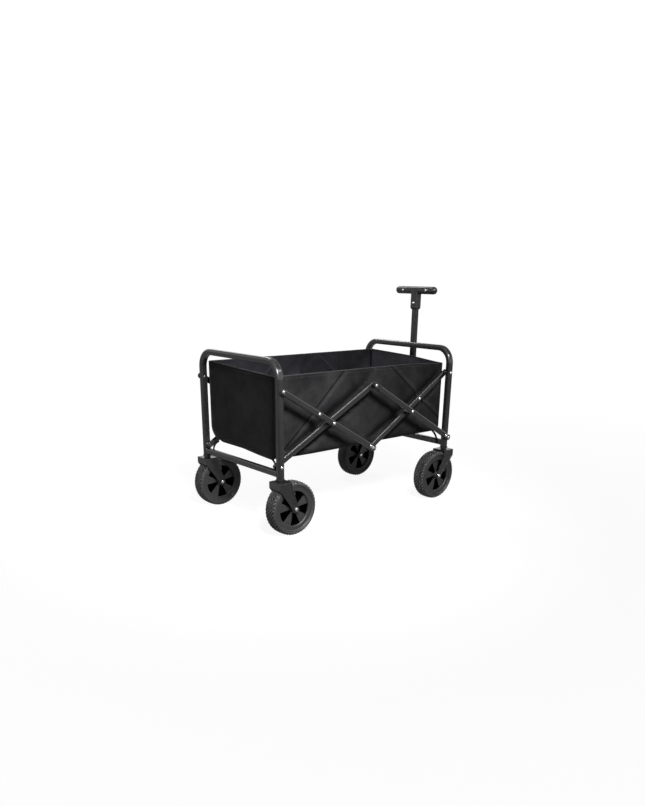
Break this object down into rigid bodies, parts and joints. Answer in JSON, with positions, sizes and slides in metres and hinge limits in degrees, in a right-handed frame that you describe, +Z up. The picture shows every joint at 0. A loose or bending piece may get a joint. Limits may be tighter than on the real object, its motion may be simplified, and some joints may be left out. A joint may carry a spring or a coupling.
{
  "type": "wagon with pull handle",
  "caption": "Collapsible fabric wagon: tube end frames joined by crossed folding side bars, spoked wheels, swivel front forks and a telescoping T pull handle.",
  "frame": {"origin": "on the floor under the middle of the open wagon", "axes": "+X forward to the pull handle, +Y to the left side, +Z up"},
  "size_m": [0.91, 0.5154, 0.786],
  "materials": {
    "frame_paint": "black satin powder coat",
    "bare_steel": "plain rivet steel",
    "plated_steel": "plated",
    "black_plastic": "black moulded",
    "wheel_plastic": "dark grey moulded",
    "tyre_rubber": "black moulded tread",
    "basket_fabric": "black woven polyester",
    "floor_panel": "hardboard covered in black cloth"
  },
  "bodies": {
    "rear_frame": {"rear_frame_tube": "frame_paint", "rear_crossbar": "frame_paint", "rear_pivot_rivets": "bare_steel", "rear_fork_left": "frame_paint", "rear_fork_right": "frame_paint", "rear_stems": "bare_steel", "rear_axles": "plated_steel", "rear_end_panel": "basket_fabric", "rear_side_wall_left": "basket_fabric", "rear_side_wall_right": "basket_fabric", "rear_corner_straps": "basket_fabric"},
    "rear_outer_bars": {"rear_outer_bar_left": "frame_paint", "rear_outer_bar_right": "frame_paint", "rear_outer_plugs": "black_plastic", "lower_eyes": "frame_paint", "rear_outer_rivets": "bare_steel"},
    "front_inner_bars": {"front_inner_bar_left": "frame_paint", "front_inner_bar_right": "frame_paint", "front_inner_plugs": "black_plastic", "front_inner_rivets": "bare_steel"},
    "rear_inner_bars": {"rear_inner_bar_left": "frame_paint", "rear_inner_bar_right": "frame_paint", "rear_inner_plugs": "black_plastic", "rear_upper_caps": "black_plastic", "basket_tabs": "black_plastic"},
    "front_outer_bars": {"front_outer_bar_left": "frame_paint", "front_outer_bar_right": "frame_paint", "front_outer_eyes": "frame_paint", "front_upper_caps": "black_plastic", "front_outer_rivets": "bare_steel"},
    "front_frame": {"front_frame_tube": "frame_paint", "front_crossbar": "frame_paint", "front_pivot_rivets": "bare_steel", "handle_bracket": "frame_paint", "handle_pin": "bare_steel", "front_end_panel": "basket_fabric", "front_side_wall_left": "basket_fabric", "front_side_wall_right": "basket_fabric", "front_corner_straps": "basket_fabric", "front_stems": "bare_steel"},
    "handle_lower": {"handle_outer_tube": "frame_paint", "handle_foot": "black_plastic"},
    "handle_upper": {"handle_inner_tube": "frame_paint", "handle_socket": "black_plastic", "handle_grip": "black_plastic", "handle_rivets": "bare_steel"},
    "front_caster_left": {"front_fork_left": "frame_paint", "front_axle_left": "plated_steel"},
    "front_caster_right": {"front_fork_right": "frame_paint", "front_axle_right": "plated_steel"},
    "rear_wheel_left": {"rear_rim_left": "wheel_plastic", "rear_tyre_left": "tyre_rubber"},
    "rear_wheel_right": {"rear_rim_right": "wheel_plastic", "rear_tyre_right": "tyre_rubber"},
    "front_wheel_left": {"front_rim_left": "wheel_plastic", "front_tyre_left": "tyre_rubber"},
    "front_wheel_right": {"front_rim_right": "wheel_plastic", "front_tyre_right": "tyre_rubber"},
    "rear_floor": {"rear_floor_board": "floor_panel"},
    "front_floor": {"front_floor_board": "floor_panel"}
  },
  "joints": [
    {"name": "fold", "type": "hinge", "parent": "rear_frame", "child": "rear_outer_bars", "pos_m": [-0.405, 0, 0.482], "axis": [0, 1, 0], "range_deg": [0, 36.5]},
    {"name": "rear_inner_fold", "type": "hinge", "parent": "rear_frame", "child": "rear_inner_bars", "pos_m": [-0.405, 0, 0.237], "axis": [0, -1, 0], "range_deg": [0, 36.5]},
    {"name": "front_inner_fold", "type": "hinge", "parent": "rear_outer_bars", "child": "front_inner_bars", "pos_m": [0, 0, 0.25], "axis": [0, -1, 0], "range_deg": [0, 73]},
    {"name": "front_outer_fold", "type": "hinge", "parent": "rear_inner_bars", "child": "front_outer_bars", "pos_m": [0, 0, 0.469], "axis": [0, 1, 0], "range_deg": [0, 73]},
    {"name": "front_frame_fold", "type": "hinge", "parent": "front_inner_bars", "child": "front_frame", "pos_m": [0.405, 0, 0.482], "axis": [0, 1, 0], "range_deg": [0, 36.5]},
    {"name": "rear_floor_fold", "type": "hinge", "parent": "rear_frame", "child": "rear_floor", "pos_m": [-0.375, 0, 0.2595], "axis": [0, -1, 0], "range_deg": [0, 74.83]},
    {"name": "front_floor_fold", "type": "hinge", "parent": "front_frame", "child": "front_floor", "pos_m": [0.375, 0, 0.2595], "axis": [0, 1, 0], "range_deg": [0, 74.83]},
    {"name": "handle_tilt", "type": "hinge", "parent": "front_frame", "child": "handle_lower", "pos_m": [0.445, 0, 0.2135], "axis": [0, 1, 0], "range_deg": [0, 100]},
    {"name": "handle_slide", "type": "slide", "parent": "handle_lower", "child": "handle_upper", "axis": [0, 0, 1], "range_m": [-0.17, 0]},
    {"name": "front_swivel_left", "type": "hinge", "parent": "front_frame", "child": "front_caster_left", "pos_m": [0.405, 0.224, 0.189], "axis": [0, 0, 1], "continuous": true},
    {"name": "front_swivel_right", "type": "hinge", "parent": "front_frame", "child": "front_caster_right", "pos_m": [0.405, -0.224, 0.189], "axis": [0, 0, 1], "continuous": true},
    {"name": "rear_wheel_left_spin", "type": "hinge", "parent": "rear_frame", "child": "rear_wheel_left", "pos_m": [-0.362, 0.224, 0.093], "axis": [0, 1, 0], "continuous": true},
    {"name": "rear_wheel_right_spin", "type": "hinge", "parent": "rear_frame", "child": "rear_wheel_right", "pos_m": [-0.362, -0.224, 0.093], "axis": [0, 1, 0], "continuous": true},
    {"name": "front_wheel_left_spin", "type": "hinge", "parent": "front_caster_left", "child": "front_wheel_left", "pos_m": [0.353, 0.224, 0.093], "axis": [0, 1, 0], "continuous": true},
    {"name": "front_wheel_right_spin", "type": "hinge", "parent": "front_caster_right", "child": "front_wheel_right", "pos_m": [0.353, -0.224, 0.093], "axis": [0, 1, 0], "continuous": true}
  ],
  "couplings": [
    {"joint": "rear_inner_fold", "follows": "fold", "ratio": 1},
    {"joint": "front_inner_fold", "follows": "fold", "ratio": 2},
    {"joint": "front_outer_fold", "follows": "fold", "ratio": 2},
    {"joint": "front_frame_fold", "follows": "fold", "ratio": 1},
    {"joint": "rear_floor_fold", "follows": "fold", "ratio": 2.05},
    {"joint": "front_floor_fold", "follows": "fold", "ratio": 2.05}
  ]
}
